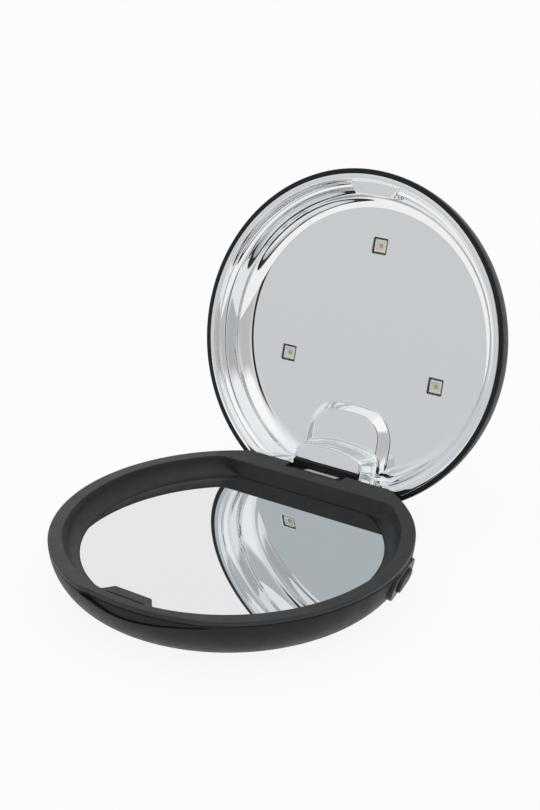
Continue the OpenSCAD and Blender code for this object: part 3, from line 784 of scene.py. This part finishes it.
def dome(inset, start):
    """Rings of the lid's dome, start being its lowest height."""
    h = LID_H - inset
    heights = [h * math.sin(math.pi / 2 * i / DOME_STEPS) for i in range(DOME_STEPS)]
    return [(dome_r(d, inset), LID_Z + d) for d in heights if d > start]


def lip(r, z, edge, steps):
    """Rounded lower edge that ends upright at radius r, with its lowest points at height z."""
    turn = reversed(quarter(steps))
    return [(r - edge * (1 - math.cos(a)), z + edge - edge * math.sin(a)) for a in turn]


def make_lid():
    edge = lip(CASE_R, LID_Z, EDGE, EDGE_STEPS)
    shell = lathe([(CASE_R - LIP_W * 0.5 - EDGE, LID_Z)] + edge + dome(0, EDGE))
    rear = box_mesh((-FAR_X, REAR_Y, LID_Z - 1), (FAR_X, FAR_Y, LID_Z + 40))
    back = REAR_Y - 2.6
    seat = CASE_R - LIP_W
    inner = [(seat + 0.25, LID_Z - 0.2), (seat, LID_Z + 0.2), (seat, LID_Z + SEAT_H)]
    inner += dome(WALL, SEAT_H)
    cavity = skin([ring(lambda a: min(r, ray_to_flat(a, back)), z) for r, z in inner])
    shell = carved(shell, rear, cavity)
    block = box_mesh((-BLOCK_HALF, BLOCK_Y, LID_Z), (BLOCK_HALF, REAR_Y - 0.02, LID_Z + BLOCK_H))
    arm = box_mesh((-KNUCKLE_HALF, ARM_Y, HINGE_AT.z), (KNUCKLE_HALF, REAR_Y, LID_Z + 1))
    softened(block, 0.2, 3)
    softened(arm, 0.2, 3)
    half, low_z, deep = PLATE_SEAT
    plate_low = (-half, ARM_Y - 1, HINGE_AT.z + low_z)
    arm = carved(arm, box_mesh(plate_low, (half, ARM_Y + deep, LID_Z + 2)))
    knuckle = rod_x(BARREL_R, -KNUCKLE_HALF, KNUCKLE_HALF, HINGE_AT.y, HINGE_AT.z, KNUCKLE_EDGE)
    whole = joined(shell, block, arm, knuckle)
    piece("lid_moulding", whole, "lid", "black_shell", ["lid_shell"], opened=True)


def bowl_profile(edge):
    """Inside of the chrome bowl, from the flange's inner edge to the floor."""
    points = []
    for a in reversed(quarter(EDGE_STEPS)):
        points.append((BOWL_R + edge * (1 - math.cos(a)), FLANGE_Z + edge - edge * math.sin(a)))
    high_z = LID_Z + CREASE_DEPTH
    for a in quarter(16)[1:-1]:
        z = FLANGE_Z + edge + (high_z - FLANGE_Z - edge) * math.sin(a)
        points.append((CREASE_R + (BOWL_R - CREASE_R) * math.cos(a), z))
    for a in quarter(EDGE_STEPS):
        z = high_z + CREASE_NOSE * (1 - math.cos(a))
        points.append((CREASE_R + CREASE_NOSE * (1 - math.sin(a)), z))
    top, run = high_z + CREASE_NOSE, CREASE_R - FLOOR_R
    for a in reversed(quarter(22)[:-1]):
        points.append((FLOOR_R + run * math.sin(a), top + (FLOOR_Z - top) * math.cos(a)))
    points.append((FLOOR_R - FLOOR_LEVEL, FLOOR_Z))
    return points


def bowl_reach(r):
    """Reach of the bowl where its round wall is r from the axis; its rear wall curves in."""
    flat = BACK_Y - SHEET
    share = min(1.0, max(0.0, (r - FLOOR_R) / (CREASE_R - FLOOR_R)))
    chord = flat - REAR_CURVE * (1 - math.sin(math.pi / 2 * share))
    corner = REAR_CORNER + 2 * share
    if chord - corner < 1 or r <= chord + 0.05:
        return lambda a: min(r, ray_to_flat(a, chord))
    return lambda a: d_reach(a, r, chord, corner)


def hood_outline(inset, z, grow=0.0):
    """Hood over the hinge: straight sides, round corners and an arched front."""
    corner_x = HOOD_HALF - HOOD_CORNER
    r = HOOD_CORNER - inset + grow
    arc = HOOD_ARC - inset + grow
    left = [Vector((-(HOOD_HALF - inset + grow), BACK_Y - 0.2, z))]
    for i in range(9):
        a = math.pi + HOOD_SWEEP * i / 8
        left.append(Vector((-corner_x + r * math.cos(a), HOOD_CORNER_Y + r * math.sin(a), z)))
    for i in range(1, 12):
        x = -(corner_x - 0.6) * (1 - i / 12)
        left.append(Vector((x, HOOD_Y + HOOD_ARC - math.sqrt(arc * arc - x * x), z)))
    return left + [Vector((0, HOOD_Y + HOOD_ARC - arc, z))] + mirrored(left)


def boss_outline(side_inset, front_inset, z):
    """Boss between hood and floor: a rectangle with round front corners and an arched front."""
    half, front = BOSS_HALF - side_inset, BOSS_Y + front_inset
    r = BOSS_CORNER - min(side_inset, front_inset)
    left = [Vector((-half, BACK_Y - 0.2, z))]
    for i in range(17):
        a = math.pi + math.pi / 2 * i / 16
        left.append(Vector((-half + r + r * math.cos(a), front + r + r * math.sin(a), z)))
    corner_x = half - r
    front_row = [Vector((corner_x * (i / 8 - 1), front, z)) for i in range(1, 16)]
    points = left + front_row + mirrored(left)
    for p in points:
        p.y += BOSS_ARCH * (p.x / BOSS_HALF) ** 2 * min(1, (BACK_Y - p.y) / 10)
    return points


def make_hood():
    rings = []
    for a in reversed(quarter(7)):
        z = HOOD_Z + HOOD_EDGE - HOOD_EDGE * math.sin(a)
        rings.append(hood_outline(HOOD_EDGE * (1 - math.cos(a)), z))
    top = FLOOR_Z - BOSS_H
    for a in quarter(7):
        z = top - HOOD_FILLET + HOOD_FILLET * math.sin(a)
        rings.append(hood_outline(0, z, HOOD_SPREAD + HOOD_FILLET * (1 - math.cos(a))))
    return skin(rings)


def boss_profile():
    """Flank of the boss from its top to the floor: (share of the inset, height above the floor)."""
    points = [(1.25, BOSS_H)]
    for i in range(9):
        a = BOSS_ROLL * i / 8
        points.append((1 - 0.3 * math.sin(a), BOSS_H - 0.5 * (1 - math.cos(a)) * 1.2))
    low_share, low_h = 0.2, 0.42
    points.append(((points[-1][0] + low_share) / 2, (points[-1][1] + low_h) / 2))
    for i in range(7):
        a = BOSS_ROLL * (1 - i / 6)
        share = low_share - 0.32 * (1 - math.sin(a) / math.sin(BOSS_ROLL))
        points.append((share, low_h * (1 - math.cos(a)) / (1 - math.cos(BOSS_ROLL))))
    points.append((-0.14, -0.3))
    return points


def make_boss():
    rings = []
    for share, h in boss_profile():
        rings.append(boss_outline(BOSS_SIDE_IN * share, BOSS_FRONT_IN * share, FLOOR_Z - h))
    return skin(rings)


def make_pad():
    """Latch pad over the lid's magnet; its root stays inside the dome."""
    top = LID_Z + PAD_DEPTH
    rows = []
    for z, root in ((top, 44.3), (top + 2, 44.0), (FLOOR_Z - 1.2, 40.9)):
        flank = min(TAB_ROOT_Y, root - 0.3)
        outline = [
            (-TAB_HALF, -TAB_Y), (TAB_HALF, -TAB_Y), (TAB_ROOT_HALF, -flank),
            (TAB_ROOT_HALF, -root), (-TAB_ROOT_HALF, -root), (-TAB_ROOT_HALF, -flank),
        ]
        rows.append([Vector((x, y, z)) for x, y in outline])
    block = skin(rows)
    softened(block, PAD_EDGE, 4)
    half, near, far, deep = PAD_GROOVE
    groove = box_mesh((-half, -TAB_Y - near, top - 1), (half, -TAB_Y - far, top + deep))
    return carved(block, groove)


def led_spots():
    """Middle of each emitter in the closed lid, from the packages' own boxes."""
    back = OPENED.inverted()
    spots = []
    for node in LEDS:
        middle = back @ ((low(node) + high(node)) / 2)
        spots.append(Vector((middle.x, middle.y, 0)))
    return spots


def square(half, r, z, at=Vector((0, 0, 0)), steps=4):
    """Square outline with rounded corners."""
    points = []
    for turn in range(4):
        for i in range(steps + 1):
            a = math.pi / 2 * (turn + i / steps)
            mid = Vector((1 if turn in (0, 3) else -1, 1 if turn in (0, 1) else -1, 0)) * (half - r)
            points.append(at + mid + Vector((r * math.cos(a), r * math.sin(a), z)))
    return points


def bowl_outside():
    """Profile of the bowl's outside, from under the flange to the back of the floor."""
    outer = [(BOWL_R - 3, FLANGE_Z)] + lip(FLANGE_R, FLANGE_Z, 0.2, 3) + [(FLANGE_R, FLANGE_Z + 1)]
    for a in quarter(8):
        z = FLANGE_Z + 1 + (CREASE_DEPTH - 1) * math.sin(a)
        outer.append((CREASE_R + SHEET + (BOWL_R - CREASE_R) * math.cos(a), z))
    for a in reversed(quarter(16)[:-1]):
        z = LID_Z + CREASE_DEPTH + (FLOOR_Z + SHEET - LID_Z - CREASE_DEPTH) * math.cos(a)
        outer.append((FLOOR_R + SHEET + (CREASE_R - FLOOR_R) * math.sin(a), z))
    outer.append((FLOOR_R - FLOOR_LEVEL, FLOOR_Z + SHEET))
    return outer


def window_tool(spot):
    """Cutter for an emitter's window, flared towards the case."""
    wide = WINDOW_HALF + WINDOW_EDGE
    sides = [square(wide, 0.5, FLOOR_Z - 1, spot), square(wide, 0.5, FLOOR_Z, spot)]
    for a in quarter(3)[1:]:
        z = FLOOR_Z + WINDOW_EDGE * (1 - math.cos(a))
        sides.append(square(WINDOW_HALF + WINDOW_EDGE * (1 - math.sin(a)), WINDOW_CORNER, z, spot))
    sides.append(square(WINDOW_HALF, WINDOW_CORNER, FLOOR_Z + 2, spot))
    return skin(sides)


def block_room(half, far_y):
    """Room in the chrome for the black block beside the hood."""
    near = (-half, BLOCK_Y - BLOCK_ROOM, 0)
    return box_mesh(near, (half, far_y, LID_Z + (BLOCK_H + BLOCK_ROOM)))


def make_reflector():
    levels = [(BOWL_R + BOWL_EDGE, FLANGE_Z - 2)] + bowl_profile(BOWL_EDGE)
    inside = skin([ring(bowl_reach(r), z) for r, z in levels])
    rear = box_mesh((-FAR_X, BACK_Y, 0), (FAR_X, FAR_Y, 60))
    windows = [window_tool(spot) for spot in led_spots()]
    bowl = carved(lathe(bowl_outside()), inside, rear, block_room(HOOD_HALF + BLOCK_ROOM, 60), *windows)
    hood = carved(make_hood(), block_room(BLOCK_HALF + 0.2, FAR_Y))
    whole = joined(bowl, hood, make_boss(), make_pad())
    piece("chrome_bowl", whole, "lid", "chrome_reflector", ["reflector"], 40, True)


def make_emitters():
    for node, spot in zip(LEDS, led_spots()):
        body = [square(LED_HALF, 0.15, LED_Z + LED_H, spot)]
        body += [square(half, r, LED_TOP + z, spot) for half, r, z in LED_STEPS]
        piece(node + "_package", skin(body), "lid", "led_ceramic", [node], opened=True)
    dies, panes = [], []
    for spot in led_spots():
        top = LED_TOP + DIE_TOP
        levels = (LED_TOP + DIE_LOW, top + 0.02, top)
        dies.append(skin([square(DIE_HALF, DIE_CORNER, z, spot) for z in levels]))
        for x in STRIPES:
            stripe_low = (spot.x + x - STRIPE_HALF, spot.y - STRIPE_LENGTH, top - STRIPE_H)
            dies.append(box_mesh(stripe_low, (spot.x + x + STRIPE_HALF, spot.y + STRIPE_LENGTH, top)))
        rings = [square(PANE_HALF - inset, PANE_CORNER, LED_TOP + z, spot) for inset, z in PANE_STEPS]
        panes.append(skin(rings))
    piece("emitter_dies", joined(*dies), "lid", "die_gold", ["led_dies"], opened=True)
    piece("emitter_panes", joined(*panes), "lid", "quartz", ["led_windows"], opened=True)


# ---------- pieces carried over from the frame ----------

def cad_copy(node, body, slot):
    """The CAD solid's own shape with welded, smoothly shaded faces."""
    mesh = frame["nodes"][node].data.copy()
    bm = bmesh.new()
    bm.from_mesh(mesh)
    bmesh.ops.remove_doubles(bm, verts=bm.verts, dist=CAD_WELD)
    bm.to_mesh(mesh)
    bm.free()
    finished(node + "_finish", mesh, body, slot, [node], 28)


BODY_OF = {n: b for b, ns in frame["record"]["behaviour"]["bodies"].items() for n in ns}
CARRIED = {
    "foot_ring": "foot_rubber", "base_screws": "steel", "hinge_pin": "steel",
    "button_switch": "switch_metal", "control_board": "circuit_board",
    "board_chips": "chip_black", "battery": "battery_foil", "port_shell": "port_metal",
    # the arm plate is painted near-white as the knuckle's highlight
    "port_tongue": "chip_black", "base_magnet": "magnet_plating", "arm_plate": "bright_plate",
    "led_board": "white_board", "led_connector": "white_nylon", "board_screws": "steel",
    "lid_magnet": "magnet_plating",
}

make_tray()
make_mirror()
make_shell()
make_button()
make_lid()
make_reflector()
make_emitters()
for carried, finish in CARRIED.items():
    cad_copy(carried, BODY_OF[carried], finish)


# ---------- camera, floor and light ----------

CAMERA_AT = Vector((0.19461, -0.26749, 0.18755))
CAMERA_RIGHT = Vector((0.8266, 0.5628, -0.0035)).normalized()
CAMERA_BACK = Vector((0.5196, -0.7607, 0.3889)).normalized()
LENS, SENSOR = 64.4, 36
FLOOR_RADIUS = 40                       # metres
FLOOR_GLOW = 0.9

# the surround's tone by height, from straight down to straight up
LOWEST_TONE, HIGHEST_TONE = (0.63, 0.65, 0.67), (0.92, 0.94, 0.95)
TONES = ((0.25, 0.66), (0.5, 0.76), (0.8, 0.9))
# soft cards: (direction, outer and inner angle, colour)
CARDS = (
    ((-0.52, 0.76, 0.39), 55, 30, (0.93, 0.93, 0.93)),      # the wall that the base mirror shows
    ((0.53, -0.31, 0.79), 34, 16, (1.05, 1.05, 1.05)),      # soft box over the camera's right
    ((-0.52, -0.44, 0.73), 26, 14, (0.52, 0.56, 0.57)),     # what the lid sends on to the base mirror
)
# darker gaps below GAP_TOP: (bearing, outer and inner angle, colour)
GAPS = ((-35, 40, 20, (0.54, 0.54, 0.55)), (-88, 9, 6, (0.03, 0.022, 0.018)))
GAP_TOP, GAP_FULL = 0.62, 0.5


def make_camera():
    data = bpy.data.cameras.new("camera")
    data.lens = LENS
    data.sensor_width = SENSOR
    data.clip_start = 0.01
    data.clip_end = 20
    cam = bpy.data.objects.new("camera", data)
    up = CAMERA_BACK.cross(CAMERA_RIGHT).normalized()
    right = up.cross(CAMERA_BACK)
    turn = Matrix((right, up, CAMERA_BACK)).transposed()
    cam.matrix_world = Matrix.Translation(CAMERA_AT) @ turn.to_4x4()
    bpy.context.scene.collection.objects.link(cam)
    bpy.context.scene.camera = cam


def combined(tree, operation, first, second):
    """Math on a source and a second source or number."""
    node = tree.nodes.new("ShaderNodeMath")
    node.operation = operation
    tree.links.new(first, node.inputs[0])
    if isinstance(second, float):
        node.inputs[1].default_value = second
    else:
        tree.links.new(second, node.inputs[1])
    return node.outputs[0]


def make_floor():
    """White floor that glows for the camera and for reflections, and still takes the shadow."""
    bm = bmesh.new()
    bmesh.ops.create_circle(bm, cap_ends=True, segments=96, radius=FLOOR_RADIUS)
    floor = to_object(bm, "floor")
    mat = new_material("floor_white", (0.9, 0.9, 0.9), 0.8, Specular_IOR_Level=0.1)
    tree = mat.node_tree
    nodes, links = tree.nodes, tree.links
    path = nodes.new("ShaderNodeLightPath").outputs
    seen = combined(tree, "MAXIMUM", path["Is Camera Ray"], path["Is Glossy Ray"])
    seen = combined(tree, "MAXIMUM", seen, path["Is Transmission Ray"])
    share = combined(tree, "MULTIPLY", seen, FLOOR_GLOW)
    white = nodes.new("ShaderNodeEmission")
    white.inputs["Strength"].default_value = 1.0
    mix = nodes.new("ShaderNodeMixShader")
    links.new(share, mix.inputs["Fac"])
    links.new(nodes["Principled BSDF"].outputs["BSDF"], mix.inputs[1])
    links.new(white.outputs["Emission"], mix.inputs[2])
    links.new(mix.outputs["Shader"], nodes["Material Output"].inputs["Surface"])
    floor.data.materials.append(mat)


def world_card(tree, tone, mask, colour):
    """Lays a colour over the surround where the mask is 1."""
    mix = tree.nodes.new("ShaderNodeMix")
    mix.data_type = "RGBA"
    tree.links.new(mask, mix.inputs["Factor"])
    tree.links.new(tone, mix.inputs["A"])
    mix.inputs["B"].default_value = (*colour, 1)
    return mix.outputs["Result"]


def world_mask(tree, vector, towards, outer, inner):
    """1 inside the inner angle from a direction, 0 outside the outer one."""
    dot = tree.nodes.new("ShaderNodeVectorMath")
    dot.operation = "DOT_PRODUCT"
    dot.inputs[1].default_value = Vector(towards).normalized()
    tree.links.new(vector, dot.inputs[0])
    span = tree.nodes.new("ShaderNodeMapRange")
    span.interpolation_type = "SMOOTHSTEP"
    span.inputs["From Min"].default_value = math.cos(math.radians(outer))
    span.inputs["From Max"].default_value = math.cos(math.radians(inner))
    tree.links.new(dot.outputs["Value"], span.inputs["Value"])
    return span.outputs["Result"]


def make_world():
    """Soft studio surround: paler overhead, with soft cards and darker gaps low around it."""
    world = bpy.data.worlds.new("world")
    world.use_nodes = True
    tree = world.node_tree
    nodes, links = tree.nodes, tree.links
    studio = nodes["Background"]
    place = nodes.new("ShaderNodeTexCoord")
    way = place.outputs["Generated"]
    split = nodes.new("ShaderNodeSeparateXYZ")
    links.new(way, split.inputs["Vector"])
    ramp = nodes.new("ShaderNodeValToRGB")
    stops = ramp.color_ramp.elements
    stops[0].position, stops[0].color = 0.0, (*LOWEST_TONE, 1)
    stops[1].position, stops[1].color = 1.0, (*HIGHEST_TONE, 1)
    for at, grey in TONES:
        stop = stops.new(at)
        stop.color = (grey, grey * 1.02, grey * 1.04, 1)
    links.new(split.outputs["Z"], ramp.inputs["Fac"])
    tone = ramp.outputs["Color"]
    for towards, outer, inner, colour in CARDS:
        tone = world_card(tree, tone, world_mask(tree, way, towards, outer, inner), colour)
    flat = nodes.new("ShaderNodeVectorMath")
    flat.operation = "MULTIPLY"
    flat.inputs[1].default_value = (1, 1, 0)
    links.new(way, flat.inputs[0])
    unit = nodes.new("ShaderNodeVectorMath")
    unit.operation = "NORMALIZE"
    links.new(flat.outputs["Vector"], unit.inputs[0])
    level = nodes.new("ShaderNodeMapRange")
    level.inputs["From Min"].default_value = GAP_TOP
    level.inputs["From Max"].default_value = GAP_FULL
    links.new(split.outputs["Z"], level.inputs["Value"])
    for centre, outer, inner, colour in GAPS:
        towards = (math.cos(math.radians(centre)), math.sin(math.radians(centre)), 0)
        mask = world_mask(tree, unit.outputs["Vector"], towards, outer, inner)
        mask = combined(tree, "MULTIPLY", mask, level.outputs["Result"])
        tone = world_card(tree, tone, mask, colour)
    links.new(tone, studio.inputs["Color"])
    studio.inputs["Strength"].default_value = 1.0
    bpy.context.scene.world = world
    bpy.context.scene.view_settings.view_transform = "Standard"


make_camera()
make_floor()
make_world()
